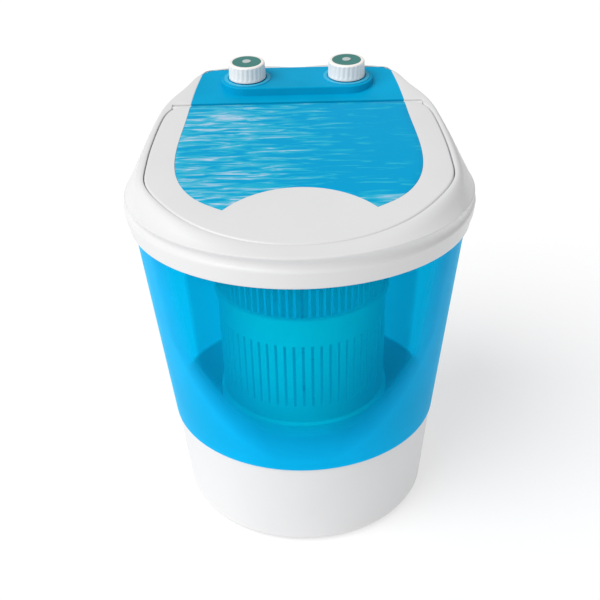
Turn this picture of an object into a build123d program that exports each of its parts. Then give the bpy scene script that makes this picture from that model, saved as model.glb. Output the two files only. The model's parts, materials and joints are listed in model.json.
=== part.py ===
from build123d import *
from math import atan, copysign, cos, exp, radians, sin, sqrt, tan
import os

# Small top load washing machine: a white base with the belt drive, a translucent conical casing round
# the wash tub and spin basket, and a white top housing with a sloping lid and two control knobs.
# Millimetres, +Z up, +X to the user's right, the user stands on the -Y side.
# The origin is on the floor, under the tub's axis.

# ---------------------------------------------------------------- driving dimensions
# heights above the floor
base_bottom_z = 4.0
base_top_z = 113.4
skirt_bottom_z = 345.4
web_z = 352.0
rim_z = 377.6

# round outline of the body
base_bottom_r = 140.3
base_top_r = 149.8
casing_bottom_r = 151.3
casing_top_r = 176.4
rim_r = 182.5
grip_bulge = 4.3
grip_spread = 48.0
wall = 3.0
casing_wall = 2.5
web_thick = 3.0

# sloping top
lid_front_y = -163.5
lid_front_z = 382.2
top_slope = 0.205
lid_depth = 10.0
lid_gap = 0.8
edge_round = 4.0

# lid hinge
hinge_y = 88.5
hinge_drop = 3.0
hinge_bead_r = 3.0
hinge_pin_r = 1.5
pin_inner_x = 129.0
pin_outer_x = 144.5
slot_half_length = 139.0
slot_width = 4.4
running_gap = 0.05

# controls
knob_x = 56.7
knob_y = 138.0
plateau_z = 450.3
plateau_slope = 0.123
plateau_r = 30.0
knob_r = 21.0
knob_height = 18.0
knob_shaft_r = 3.0

# wash tub, basket and drive
tub_floor_z = 92.0
tub_bottom_r = 118.0
tub_top_r = 133.5
tub_wall = 2.4
basket_bottom_z = 112.0
basket_top_z = 264.0
basket_r = 94.0
basket_wall = 2.0
shaft_r = 5.0
pulley_z = 14.0
pulley_width = 8.0
large_pulley_r = 62.0
small_pulley_r = 12.0
groove_depth = 5.0
motor_y = 95.0
motor_r = 40.0
motor_shaft_r = 3.0

# base fittings
cover_r = 128.0
flange_inner_r = 100.0
drain_azimuth = 145.0
drain_hole_r = 98.0
drain_pipe_r = 9.5
drain_z = 62.0
spigot_end_r = 168.0

# ---------------------------------------------------------------- derived places
top_tilt = atan(top_slope)
plateau_tilt = atan(plateau_slope)
span = 520.0


def top_z(y):
    """Height of the sloping top above the floor."""
    return lid_front_z + top_slope * (y - lid_front_y)


def base_outer_r(z):
    """Outer radius of the conical base wall."""
    part_way = (z - base_bottom_z) / (base_top_z - base_bottom_z)
    return base_bottom_r + (base_top_r - base_bottom_r) * part_way


def casing_outer_r(z):
    """Outer radius of the conical casing."""
    part_way = (z - base_top_z) / (web_z - base_top_z)
    return casing_bottom_r + (casing_top_r - casing_bottom_r) * part_way


def tub_outer_r(z):
    """Outer radius of the conical wash tub."""
    tub_bottom_z = tub_floor_z - wall
    part_way = (z - tub_bottom_z) / (web_z - wall - tub_bottom_z)
    return tub_bottom_r + (tub_top_r - tub_bottom_r) * part_way


hinge_z = top_z(hinge_y) - hinge_drop / cos(top_tilt)
top_plane = Plane(origin=(0, 0, top_z(0)), x_dir=(1, 0, 0), z_dir=(0, -sin(top_tilt), cos(top_tilt)))
plateau_plane = Plane(
    origin=(0, knob_y, plateau_z),
    x_dir=(1, 0, 0),
    z_dir=(0, -sin(plateau_tilt), cos(plateau_tilt)),
)


def on_plateau(x, rise):
    """Plane square to a knob's axis, rise mm above the plateau's top."""
    return Plane(origin=(x, knob_y, plateau_z), x_dir=(1, 0, 0), z_dir=plateau_plane.z_dir).offset(rise)


def polar(radius, azimuth):
    """Point at a radius and an azimuth counted from +X towards +Y."""
    return (radius * cos(radians(azimuth)), radius * sin(radians(azimuth)))


os.makedirs("parts", exist_ok=True)


def save(piece, name):
    """Label a finished piece and write its STEP file."""
    piece.part.label = name
    export_step(piece.part, f"parts/{name}.step")


# ---------------------------------------------------------------- plan outlines
def mirrored(half):
    """Closed outline from its right half, front to back: both ends lie on the middle line."""
    left = [(-x, y) for x, y in reversed(half[1:-1])]
    return half + left


def front_arc(radius, centre_y, azimuths):
    """Points of a round front, by angle from straight ahead."""
    return [(radius * sin(radians(a)), centre_y - radius * cos(radians(a))) for a in azimuths]


front_steps = (0, 20, 40, 56, 70)
rim_outline = mirrored(
    front_arc(rim_r, 0, front_steps)
    + [(179.6, -32), (182.4, -3), (180.6, 27), (173, 60), (163, 88), (151.5, 113), (143, 131)]
    + [(136, 148), (127, 163.5), (112.5, 175.5), (88, 181), (44, 182), (0, 182.2)]
)
shoulder_outline = mirrored(
    front_arc(169, -1, front_steps)
    + [(161.3, -30), (160.6, -3), (158.5, 26), (154.5, 60), (149.5, 88), (140, 113), (131, 130)]
    + [(124, 146), (117.5, 160), (105, 171.5), (84, 177.2), (42, 178.2), (0, 178.2)]
)

lid_outline = mirrored(
    front_arc(162.5, -1, front_steps)
    + [(154.2, -32), (153.6, -4), (151.3, 26), (147.4, 58), (143.5, 74), (136.5, 84.5), (124, hinge_y)]
    + [(80, hinge_y), (40, hinge_y), (0, hinge_y)]
)
blue_corner = (73, -109)
blue_side = [(98, -92), (118, -62), (126, -14), (121, 57), (115.5, 125)]
blue_outline = mirrored([(0, -73.3), blue_corner] + blue_side + [(108.5, 171.5), (0, 171.5)])
deck_front_y = hinge_y + slot_width
mouth_r = 124.0
mouth_rear_y = 76.0


def ring_of(outline, height):
    """Plan outline as points; height is a number, or a function of y."""
    if callable(height):
        return [Vector(x, y, height(y)) for x, y in outline]
    return [Vector(x, y, height) for x, y in outline]


def inset(points, distance):
    """Closed ring of points moved inwards in plan, or outwards for a negative distance."""
    moved = []
    for here, point in enumerate(points):
        run = points[(here + 1) % len(points)] - points[here - 1]
        length = sqrt(run.X**2 + run.Y**2)
        moved.append(point + Vector(-run.Y, run.X, 0) * (distance / length))
    return moved


def smooth_face(outline, depth):
    """Face inside a smooth closed outline, moved inwards by depth."""
    with BuildSketch() as face:
        with BuildLine():
            ring = inset(ring_of(outline, 0), depth)
            Spline(*ring, ring[0], tangents=((1, 0), (1, 0)), tangent_scalars=(1, 1))
        make_face()
    return face.sketch


def blue_face(depth, front_y, rear_y):
    """Face of the blue glazing between two lines across it, its edge moved inwards by depth."""
    ring = inset(ring_of(blue_outline, 0), depth)
    last = len(blue_side) + 2
    with BuildSketch() as face:
        with BuildLine():
            ThreePointArc(ring[-1], ring[0], ring[1])
            Spline(*ring[1 : last + 1])
            Line(ring[last], ring[last + 2])
            Spline(*ring[last + 2 :])
        make_face()
        fillet(face.vertices().group_by(Axis.Y)[-1], radius=11)
        with Locations((0, (front_y + rear_y) / 2)):
            Rectangle(span, rear_y - front_y, mode=Mode.INTERSECT)
    return face.sketch


def mouth_face(depth):
    """Face of the wash tub's mouth: round, with a straight rear edge, moved inwards by depth."""
    with BuildSketch() as face:
        Circle(mouth_r - depth)
        with Locations((0, mouth_rear_y - depth - span / 2)):
            Rectangle(span, span, mode=Mode.INTERSECT)
        fillet(face.vertices(), radius=14 - depth)
    return face.sketch


def layer(outline, low, high):
    """A plan face cut to the layer between two depths measured from the sloping top."""
    with BuildPart() as sheet:
        with BuildSketch(Plane.XY.offset(rim_z - 60)):
            add(outline)
        extrude(amount=200)
        with BuildSketch(top_plane.offset(low)):
            Rectangle(span, span)
        extrude(amount=high - low, mode=Mode.INTERSECT)
    return sheet.part


def rod_along_x(x, y, z, length, radius):
    """Round bar along +X from x."""
    with BuildPart() as rod:
        with BuildSketch(Plane.YZ.offset(x)):
            with Locations((y, z)):
                Circle(radius)
        extrude(amount=length)
    return rod.part


def turned(profile):
    """Solid of revolution about the tub's axis, from a closed list of (radius, height) points."""
    with BuildPart() as round_piece:
        with BuildSketch(Plane.XZ):
            with BuildLine():
                Polyline(*profile, close=True)
            make_face()
        revolve(axis=Axis.Z)
    return round_piece.part


def upright(points, radius, low, high):
    """Round posts on vertical axes at the given plan points."""
    with BuildPart() as posts:
        with BuildSketch(Plane.XY.offset(low)):
            with Locations(*points):
                Circle(radius)
        extrude(amount=high - low)
    return posts.part


# ---------------------------------------------------------------- base housing
pillar_azimuths = (55, 125, 225, 315)
pillar_points = [polar(108, azimuth) for azimuth in pillar_azimuths]
bracket_points = [(58, 112), (-58, 112), (84, 72), (-84, 72)]
cover_screw_points = [polar(112, azimuth) for azimuth in (5, 95, 185, 275)]
foot_points = [polar(112, azimuth) for azimuth in (45, 135, 225, 315)]
grommet_azimuth = 62.0
flange_z = base_bottom_z + wall
spigot_top_z = base_top_z + 7.6
spigot_ring_r = casing_bottom_r - casing_wall - 0.4
tub_bottom_z = tub_floor_z - wall
bracket_z = 24.0
grommet_z = 40.0


def across(azimuth, distance, height):
    """Plane whose normal points outwards at an azimuth, at a distance from the tub's axis."""
    x, y = polar(distance, azimuth)
    return Plane(origin=(x, y, height), x_dir=(-sin(radians(azimuth)), cos(radians(azimuth)), 0),
                 z_dir=(cos(radians(azimuth)), sin(radians(azimuth)), 0))


with BuildPart() as base_housing:
    with BuildSketch(Plane.XZ):
        with BuildLine():
            Polyline(
                (base_outer_r(base_bottom_z + 6) - 6, base_bottom_z),
                (base_outer_r(base_bottom_z + 6) - 2.2, base_bottom_z + 1.4),
                (base_outer_r(base_bottom_z + 6), base_bottom_z + 6),
                (base_outer_r(base_top_z - 1), base_top_z - 1),
                (base_top_r - 1, base_top_z),
                (spigot_ring_r, base_top_z),
                (spigot_ring_r, spigot_top_z),
                (spigot_ring_r - wall, spigot_top_z),
                (spigot_ring_r - wall, base_top_z - 6),
                (base_outer_r(flange_z + wall) - wall, flange_z + wall),
                (flange_inner_r, flange_z + wall),
                (flange_inner_r, flange_z),
                (cover_r + 0.5, flange_z),
                (cover_r + 0.5, base_bottom_z),
                close=True,
            )
        make_face()
    revolve(axis=Axis.Z)
    add(upright(pillar_points, 7, flange_z, tub_bottom_z))
    add(upright(bracket_points, 5, flange_z, bracket_z))
    with BuildSketch(Plane.XY.offset(flange_z)):
        with Locations(*bracket_points, *cover_screw_points):
            Circle(1.5)
    extrude(amount=bracket_z, mode=Mode.SUBTRACT)
    with BuildSketch(across(drain_azimuth, 120, drain_z)):
        Circle(drain_pipe_r + 1.5)
    extrude(amount=40, mode=Mode.SUBTRACT)
    with BuildSketch(across(grommet_azimuth, 120, grommet_z)):
        Circle(7)
    extrude(amount=40, mode=Mode.SUBTRACT)
save(base_housing, "base_housing")

# ---------------------------------------------------------------- bottom cover, its screws and the feet
vent_points = [polar(radius, azimuth) for radius in (40, 56) for azimuth in range(0, 360, 30)]
with BuildPart() as bottom_cover:
    with BuildSketch(Plane.XY.offset(base_bottom_z)):
        Circle(cover_r)
        with Locations(*vent_points):
            Circle(3.5, mode=Mode.SUBTRACT)
        with Locations(*cover_screw_points):
            Circle(1.5, mode=Mode.SUBTRACT)
        with Locations(*foot_points):
            Circle(3, mode=Mode.SUBTRACT)
    extrude(amount=wall)
save(bottom_cover, "bottom_cover")

with BuildPart() as cover_screws:
    add(upright(cover_screw_points, 1.5, base_bottom_z, flange_z + wall))
    add(upright(cover_screw_points, 3.4, base_bottom_z - 2, base_bottom_z))
save(cover_screws, "cover_screws")

with BuildPart() as rubber_feet:
    add(upright(foot_points, 11, 0, base_bottom_z))
    chamfer(rubber_feet.edges().group_by(Axis.Z)[0], length=1.2)
    add(upright(foot_points, 3, base_bottom_z, flange_z))
save(rubber_feet, "rubber_feet")

# ---------------------------------------------------------------- outer casing
with BuildPart() as outer_casing:
    add(
        turned(
            [
                (casing_outer_r(base_top_z), base_top_z),
                (casing_outer_r(web_z), web_z),
                (casing_outer_r(web_z) - casing_wall, web_z),
                (casing_outer_r(base_top_z) - casing_wall, base_top_z),
            ]
        )
    )
save(outer_casing, "outer_casing")

# ---------------------------------------------------------------- top frame
def closed_curve(points):
    """Smooth closed wire through a ring of points."""
    run = (points[1] - points[-1]).normalized()
    return Wire([Edge.make_spline(points + points[:1], tangents=(run, run), scale=False)])


def level(points, height):
    """The same ring at one height."""
    return [Vector(point.X, point.Y, height) for point in points]


rim_ring = ring_of(rim_outline, rim_z)
shoulder_ring = ring_of(shoulder_outline, top_z)
flat_ring = [Vector(p.X, p.Y, top_z(p.Y)) for p in inset(shoulder_ring, edge_round)]
flare_ring = [
    shoulder + (rim - shoulder).normalized() * edge_round for shoulder, rim in zip(shoulder_ring, rim_ring)
]


def rounded(part_way):
    """Ring on the rounded shoulder, 0 at its foot and 1 at the flat top."""
    foot_share = (1 - part_way) ** 2
    corner_share = 2 * part_way * (1 - part_way)
    top_share = part_way**2
    return [
        foot * foot_share + corner * corner_share + top * top_share
        for foot, corner, top in zip(flare_ring, shoulder_ring, flat_ring)
    ]


# collar profile from the skirt's foot up to the rim: (inset from the rim's outline, height, share of the grip)
collar_profile = [
    (2.6, skirt_bottom_z, 0),
    (2.4, 351.0, 0),
    (2.2, 352.6, 0.9),
    (1.7, 360.0, 1),
    (1.3, 362.5, 1),
    (3.3, 365.6, 0.9),
    (3.4, 370.0, 0.6),
    (0.6, 375.0, 0.2),
    (0.0, rim_z - 1.0, 0),
    (0.9, rim_z + 0.35, 0),
]


def with_grips(points, share):
    """Ring of points pushed out at the two sides, where the carrying grips stand proud."""
    pushed = []
    for point in points:
        bulge = grip_bulge * share * exp(-((point.Y / grip_spread) ** 2))
        pushed.append(point + Vector(copysign(bulge, point.X) if abs(point.X) > 1 else 0, 0, 0))
    return pushed


outer_rings = [
    with_grips(level(inset(rim_ring, depth), height), share) for depth, height, share in collar_profile
]
outer_rings += [rounded(step / 4) for step in range(5)]
outer_body = Solid.make_loft([closed_curve(ring) for ring in outer_rings], ruled=True)

with BuildSketch() as everywhere:
    Rectangle(span, span)
funnel_face = mouth_face(-wall)
open_face = mouth_face(0)
roof_depth = lid_depth + wall + 1
below_roof = layer(everywhere.sketch, -150, -roof_depth)
below_floor = layer(everywhere.sketch, -150, -lid_depth - 1)
pocket_room = layer(smooth_face(lid_outline, -lid_gap), -lid_depth, 12)
deck_room = layer(blue_face(0, deck_front_y, 200), -3, 30)
deck_hole = layer(blue_face(8, deck_front_y + 8, 163.5), -58, 30)
pin_hole = rod_along_x(-pin_outer_x - 0.5, hinge_y, hinge_z, 2 * pin_outer_x + 1, hinge_pin_r + running_gap)
harness_y = 156.0
harness_hole_r = 9.0
harness_hole_x = -4.0
slot_front = hinge_bead_r + 0.5

with BuildPart() as frame_cavity:
    add(
        turned(
            [
                (0, web_z + web_thick),
                (173, web_z + web_thick),
                (173, 369),
                (152, 394),
                (152, 470),
                (0, 470),
            ]
        )
    )
    add(below_roof, mode=Mode.INTERSECT)

with BuildPart() as funnel:
    with BuildSketch(Plane.XY.offset(web_z)):
        add(funnel_face)
    extrude(amount=100)
    add(below_floor, mode=Mode.INTERSECT)

with BuildPart() as top_frame:
    add(outer_body)
    with BuildSketch(Plane.XY.offset(skirt_bottom_z)):
        Circle(casing_top_r + 0.6)
    extrude(amount=web_z - skirt_bottom_z, mode=Mode.SUBTRACT)
    add(frame_cavity.part, mode=Mode.SUBTRACT)
    add(funnel.part)
    add(pocket_room, mode=Mode.SUBTRACT)
    add(deck_room, mode=Mode.SUBTRACT)
    add(deck_hole, mode=Mode.SUBTRACT)
    with BuildSketch(Plane.YZ.offset(-slot_half_length)):
        with Locations((hinge_y + (slot_width - slot_front) / 2, hinge_z + 10)):
            Rectangle(slot_width + slot_front, 20 + 2 * slot_front)
    extrude(amount=2 * slot_half_length, mode=Mode.SUBTRACT)
    add(pin_hole, mode=Mode.SUBTRACT)
    with BuildSketch(Plane.XY.offset(web_z - 2)):
        add(open_face)
    extrude(amount=90, mode=Mode.SUBTRACT)
    with BuildSketch(Plane.XY.offset(web_z - 2)):
        with Locations((harness_hole_x, harness_y)):
            Circle(harness_hole_r)
    extrude(amount=10, mode=Mode.SUBTRACT)
save(top_frame, "top_frame")

# ---------------------------------------------------------------- hinged lid
glass_thick = 2.6
knuckle_x = 117.0
lid_shell = layer(smooth_face(lid_outline, 0), -9, 0)
lid_hollow = layer(smooth_face(lid_outline, wall), -9.5, -wall)
glass_seat = layer(blue_face(0, -200, hinge_y + 4), -glass_thick, 5)
glass_opening = layer(blue_face(5, -200, 80), -9.5, 5)
glass_plate = layer(blue_face(0, -200, hinge_y), -glass_thick, 0)
bumper_points = [(-90, -120), (90, -120)]
with BuildSketch() as bumper_face:
    with Locations(*bumper_points):
        Circle(4)
bumpers = layer(bumper_face.sketch, -lid_depth + 0.3, -wall)
knuckle_length = slot_half_length - 0.5 - knuckle_x
knuckles = [
    rod_along_x(knuckle_x, hinge_y, hinge_z, knuckle_length, hinge_bead_r),
    rod_along_x(-knuckle_x - knuckle_length, hinge_y, hinge_z, knuckle_length, hinge_bead_r),
]
glass_bead = rod_along_x(-knuckle_x + 1, hinge_y, hinge_z, 2 * knuckle_x - 2, hinge_bead_r)
bead_room = rod_along_x(-knuckle_x, hinge_y, hinge_z, 2 * knuckle_x, hinge_bead_r)
hinge_pins = [
    rod_along_x(pin_inner_x, hinge_y, hinge_z, pin_outer_x - pin_inner_x, hinge_pin_r),
    rod_along_x(-pin_outer_x, hinge_y, hinge_z, pin_outer_x - pin_inner_x, hinge_pin_r),
]

with BuildPart() as lid_frame:
    add(lid_shell)
    add(lid_hollow, mode=Mode.SUBTRACT)
    add(glass_seat, mode=Mode.SUBTRACT)
    add(glass_opening, mode=Mode.SUBTRACT)
    add(bead_room, mode=Mode.SUBTRACT)
    for knuckle in knuckles:
        add(knuckle)
    for pin in hinge_pins:
        add(pin, mode=Mode.SUBTRACT)
save(lid_frame, "lid_frame")

with BuildPart() as lid_window:
    add(glass_plate)
    for knuckle in knuckles:
        add(knuckle, mode=Mode.SUBTRACT)
    add(glass_bead)
save(lid_window, "lid_window")

with BuildPart() as lid_hinge_pins:
    for pin in hinge_pins:
        add(pin)
save(lid_hinge_pins, "lid_hinge_pins")

with BuildPart() as lid_bumpers:
    add(bumpers)
save(lid_bumpers, "lid_bumpers")

# ---------------------------------------------------------------- control deck and its controls
screw_offset = 12.0
control_screw_x = [side * knob_x + step for side in (-1, 1) for step in (-screw_offset, screw_offset)]
deck_plate = layer(blue_face(0, deck_front_y, 200), -3, 0)


def plateau_block(trim, below, above_depth):
    """Raised pill under the knobs, its side moved inwards by trim and its top lowered by below."""
    with BuildPart() as block:
        with BuildSketch(Plane.XY.offset(380)):
            with Locations((0, knob_y)):
                SlotCenterToCenter(2 * knob_x, 2 * (plateau_r - trim))
        extrude(amount=120)
        with BuildSketch(top_plane.offset(above_depth)):
            Rectangle(span, span)
        extrude(amount=80, mode=Mode.INTERSECT)
        with BuildSketch(plateau_plane.offset(-below)):
            Rectangle(span, span)
        extrude(amount=-80, mode=Mode.INTERSECT)
    return block.part


plateau_shell = plateau_block(0, 0, -3)
plateau_hollow = plateau_block(wall, wall, -4)
with BuildPart() as control_deck:
    add(deck_plate)
    add(plateau_shell)
    fillet(control_deck.edges().group_by(Axis.Z)[-1], radius=1.6)
    add(plateau_hollow, mode=Mode.SUBTRACT)
    with BuildSketch(plateau_plane):
        with Locations((-knob_x, 0), (knob_x, 0)):
            Circle(4)
    extrude(amount=-10, mode=Mode.SUBTRACT)
    with BuildSketch(plateau_plane):
        with Locations(*[(x, 0) for x in control_screw_x]):
            Circle(1.3)
    extrude(amount=-10, mode=Mode.SUBTRACT)
save(control_deck, "control_deck")

with BuildPart() as control_screws:
    with BuildSketch(plateau_plane):
        with Locations(*[(x, 0) for x in control_screw_x]):
            Circle(1.3)
    extrude(amount=-11)
    with BuildSketch(plateau_plane):
        with Locations(*[(x, 0) for x in control_screw_x]):
            Circle(2.4)
    extrude(amount=1)
save(control_screws, "control_screws")

knob_base = 1.3
for name, x in (("timer", -knob_x), ("selector", knob_x)):
    with BuildPart() as dial_ring:
        with BuildSketch(on_plateau(x, 0)):
            Circle(26.5)
            Circle(22.5, mode=Mode.SUBTRACT)
        extrude(amount=0.8)
    save(dial_ring, f"{name}_dial_ring")

    with BuildPart() as knob:
        with BuildSketch(on_plateau(x, knob_base)):
            Circle(knob_r)
        extrude(amount=knob_height, taper=1.5)
        fillet(knob.edges().group_by(Axis.Z)[-1], radius=1.5)
        with BuildSketch(on_plateau(x, knob_base + 3)):
            with PolarLocations(knob_r + 0.55, 36):
                Circle(1.0)
        extrude(amount=knob_height, mode=Mode.SUBTRACT)
        with BuildSketch(on_plateau(x, knob_base)):
            Circle(18)
            Circle(6.5, mode=Mode.SUBTRACT)
        extrude(amount=12, mode=Mode.SUBTRACT)
        with BuildSketch(on_plateau(x, knob_base)):
            Circle(knob_shaft_r)
        extrude(amount=11, mode=Mode.SUBTRACT)
        with BuildSketch(on_plateau(x, knob_base + knob_height)):
            Circle(16.3)
            Circle(5, mode=Mode.SUBTRACT)
        extrude(amount=-1, mode=Mode.SUBTRACT)
    save(knob, f"{name}_knob")

    with BuildPart() as knob_ring:
        with BuildSketch(on_plateau(x, knob_base + knob_height - 1)):
            Circle(16.3)
            Circle(5, mode=Mode.SUBTRACT)
        extrude(amount=1.2)
    save(knob_ring, f"{name}_knob_ring")

    with BuildPart() as knob_cap:
        with BuildSketch(on_plateau(x, knob_base + knob_height)):
            Circle(4.8)
        extrude(amount=0.8)
    save(knob_cap, f"{name}_knob_cap")

    with BuildPart() as control_shaft:
        with BuildSketch(on_plateau(x, -18)):
            Circle(knob_shaft_r)
        extrude(amount=18 + knob_base + 11)
    save(control_shaft, f"{name}_shaft")

control_top = -wall
with BuildPart() as wash_timer:
    with BuildSketch(on_plateau(-knob_x, control_top)):
        Circle(20)
    extrude(amount=-24)
    with BuildSketch(on_plateau(-knob_x, control_top - 24)):
        with Locations((-10, -8), (10, -8), (-10, 8), (10, 8)):
            Rectangle(6.3, 0.9)
    extrude(amount=-8)
    with BuildSketch(on_plateau(-knob_x, control_top)):
        Circle(knob_shaft_r + running_gap)
    extrude(amount=-16, mode=Mode.SUBTRACT)
    with BuildSketch(on_plateau(-knob_x, control_top)):
        with Locations((-screw_offset, 0), (screw_offset, 0)):
            Circle(1.3)
    extrude(amount=-8, mode=Mode.SUBTRACT)
save(wash_timer, "wash_timer")

with BuildPart() as selector_switch:
    with BuildSketch(on_plateau(knob_x, control_top)):
        RectangleRounded(38, 32, 4)
    extrude(amount=-18)
    with BuildSketch(on_plateau(knob_x, control_top - 18)):
        with Locations((-12, -8), (0, -8), (12, -8), (0, 8)):
            Rectangle(6.3, 0.9)
    extrude(amount=-8)
    with BuildSketch(on_plateau(knob_x, control_top)):
        Circle(knob_shaft_r + running_gap)
    extrude(amount=-16, mode=Mode.SUBTRACT)
    with BuildSketch(on_plateau(knob_x, control_top)):
        with Locations((-screw_offset, 0), (screw_offset, 0)):
            Circle(1.3)
    extrude(amount=-8, mode=Mode.SUBTRACT)
save(selector_switch, "selector_switch")

# ---------------------------------------------------------------- wash tub, gasket and strainer
tub_rim_z = web_z - 3
seal_r = 13.0
housing_screw_points = [polar(26, azimuth) for azimuth in range(0, 360, 60)]
drain_x, drain_y = polar(drain_hole_r, drain_azimuth)
with BuildPart() as wash_tub:
    add(
        turned(
            [
                (seal_r, tub_bottom_z),
                (tub_bottom_r, tub_bottom_z),
                (tub_outer_r(tub_rim_z - wall), tub_rim_z - wall),
                (147, tub_rim_z - wall),
                (147, tub_rim_z),
                (tub_outer_r(tub_rim_z) - tub_wall, tub_rim_z),
                (tub_bottom_r - tub_wall, tub_floor_z + 4),
                (tub_bottom_r - tub_wall - 4, tub_floor_z),
                (seal_r, tub_floor_z),
            ]
        )
    )
    with BuildSketch(Plane.XY.offset(tub_bottom_z)):
        with Locations(*housing_screw_points):
            Circle(2)
    extrude(amount=2, mode=Mode.SUBTRACT)
    with BuildSketch(Plane.XY.offset(tub_bottom_z - 1)):
        with Locations((drain_x, drain_y)):
            Circle(drain_pipe_r)
    extrude(amount=10, mode=Mode.SUBTRACT)
save(wash_tub, "wash_tub")

with BuildPart() as tub_gasket:
    add(
        turned(
            [(134, tub_rim_z), (146, tub_rim_z), (146, web_z), (134, web_z)]
        )
    )
save(tub_gasket, "tub_gasket")

with BuildPart() as drain_strainer:
    add(upright([(drain_x, drain_y)], 12, tub_floor_z, tub_floor_z + 1.2))
    add(upright([(drain_x, drain_y)], drain_pipe_r, tub_bottom_z, tub_floor_z))
    with BuildSketch(Plane.XY.offset(tub_bottom_z)):
        with Locations((drain_x, drain_y)):
            Circle(drain_pipe_r - 1.5)
    extrude(amount=wall, mode=Mode.SUBTRACT)
    with BuildSketch(Plane.XY.offset(tub_bottom_z)):
        with Locations((drain_x, drain_y)):
            with PolarLocations(5, 6):
                Circle(1.5)
            Circle(1.5)
    extrude(amount=8, mode=Mode.SUBTRACT)
save(drain_strainer, "drain_strainer")

# ---------------------------------------------------------------- drain pipe
elbow_bend_r = 18.0
elbow_end_r = 136.0
elbow_end_x, elbow_end_y = polar(elbow_end_r, drain_azimuth)
with BuildPart() as drain_elbow:
    with BuildLine() as elbow_path:
        FilletPolyline(
            (drain_x, drain_y, tub_bottom_z),
            (drain_x, drain_y, drain_z),
            (elbow_end_x, elbow_end_y, drain_z),
            radius=elbow_bend_r,
        )
    with BuildSketch(Plane(origin=(drain_x, drain_y, tub_bottom_z), z_dir=(0, 0, -1))):
        Circle(drain_pipe_r + 2)
        Circle(drain_pipe_r - 0.5, mode=Mode.SUBTRACT)
    sweep(path=elbow_path.wires()[0])
save(drain_elbow, "drain_elbow")

spigot_wall_r = base_outer_r(drain_z)
with BuildPart() as drain_spigot:
    with BuildSketch(across(drain_azimuth, elbow_end_r - 10, drain_z)):
        Circle(drain_pipe_r - 0.5)
    extrude(amount=14)
    with BuildSketch(across(drain_azimuth, elbow_end_r + 0.5, drain_z)):
        Circle(drain_pipe_r + 1.5)
    extrude(amount=spigot_wall_r - elbow_end_r)
    with BuildSketch(across(drain_azimuth, spigot_wall_r - 1.5, drain_z)):
        Circle(16)
    extrude(amount=4)
    with BuildSketch(across(drain_azimuth, spigot_wall_r, drain_z)):
        Circle(drain_pipe_r)
    extrude(amount=spigot_end_r - spigot_wall_r)
    with BuildSketch(across(drain_azimuth, elbow_end_r - 12, drain_z)):
        Circle(6.5)
    extrude(amount=80, mode=Mode.SUBTRACT)
    add(base_housing.part, mode=Mode.SUBTRACT)
save(drain_spigot, "drain_spigot")

grommet_wall_r = base_outer_r(grommet_z)
with BuildPart() as cord_grommet:
    with BuildSketch(across(grommet_azimuth, grommet_wall_r - wall - 2.5, grommet_z)):
        Circle(9.5)
    extrude(amount=2.6)
    with BuildSketch(across(grommet_azimuth, grommet_wall_r - wall - 2.5, grommet_z)):
        Circle(7)
    extrude(amount=wall + 4.5)
    with BuildSketch(across(grommet_azimuth, grommet_wall_r - 0.6, grommet_z)):
        Circle(9.5)
    extrude(amount=2.6)
    with BuildSketch(across(grommet_azimuth, grommet_wall_r - 20, grommet_z)):
        Circle(3.6)
    extrude(amount=40, mode=Mode.SUBTRACT)
    add(base_housing.part, mode=Mode.SUBTRACT)
save(cord_grommet, "cord_grommet")

# ---------------------------------------------------------------- bearing housing, bearings, seal
housing_bottom_z = 34.0
bearing_height = 9.0
housing_flange_z = tub_bottom_z - 6
with BuildPart() as bearing_housing:
    add(
        turned(
            [
                (seal_r, tub_bottom_z),
                (34, tub_bottom_z),
                (34, housing_flange_z),
                (20, housing_flange_z - 3),
                (18, housing_bottom_z),
                (seal_r, housing_bottom_z),
                (seal_r, housing_bottom_z + bearing_height),
                (9, housing_bottom_z + bearing_height),
                (9, housing_flange_z - bearing_height),
                (seal_r, housing_flange_z - bearing_height),
            ]
        )
    )
    with BuildSketch(Plane.XY.offset(housing_flange_z - 4)):
        with Locations(*housing_screw_points):
            Circle(2)
    extrude(amount=20, mode=Mode.SUBTRACT)
    with BuildSketch(Plane.XY.offset(housing_flange_z - 4)):
        with Locations(*housing_screw_points):
            Circle(3.6)
    extrude(amount=4, mode=Mode.SUBTRACT)
save(bearing_housing, "bearing_housing")

with BuildPart() as housing_screws:
    add(upright(housing_screw_points, 2, housing_flange_z, tub_bottom_z + 2))
    add(upright(housing_screw_points, 3.6, housing_flange_z - 2.5, housing_flange_z))
save(housing_screws, "housing_screws")

running_shaft_r = shaft_r + running_gap
for name, low in (("upper_bearing", housing_flange_z - bearing_height), ("lower_bearing", housing_bottom_z)):
    high = low + bearing_height
    with BuildPart() as bearing:
        add(
            turned(
                [
                    (running_shaft_r, low),
                    (7.4, low),
                    (7.9, low + 0.8),
                    (10.6, low + 0.8),
                    (11.1, low),
                    (seal_r, low),
                    (seal_r, high),
                    (running_shaft_r, high),
                ]
            )
        )
    save(bearing, name)

with BuildPart() as water_seal:
    add(
        turned(
            [
                (running_shaft_r, housing_flange_z),
                (seal_r, housing_flange_z),
                (seal_r, tub_floor_z),
                (8, tub_floor_z),
                (running_shaft_r, tub_floor_z + 1),
            ]
        )
    )
save(water_seal, "water_seal")

# ---------------------------------------------------------------- rotor: shaft, pulsator, basket, pulley
shaft_top_z = 106.0
vane_top_z = basket_bottom_z
pulsator_z = tub_floor_z + 2
with BuildPart() as drive_shaft:
    add(turned([(0, pulley_z - 3), (shaft_r, pulley_z - 3), (shaft_r, shaft_top_z), (0, shaft_top_z)]))
    with BuildSketch(Plane.XY.offset(shaft_top_z - 12)):
        Circle(2.5)
    extrude(amount=12, mode=Mode.SUBTRACT)
save(drive_shaft, "drive_shaft")

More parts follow.
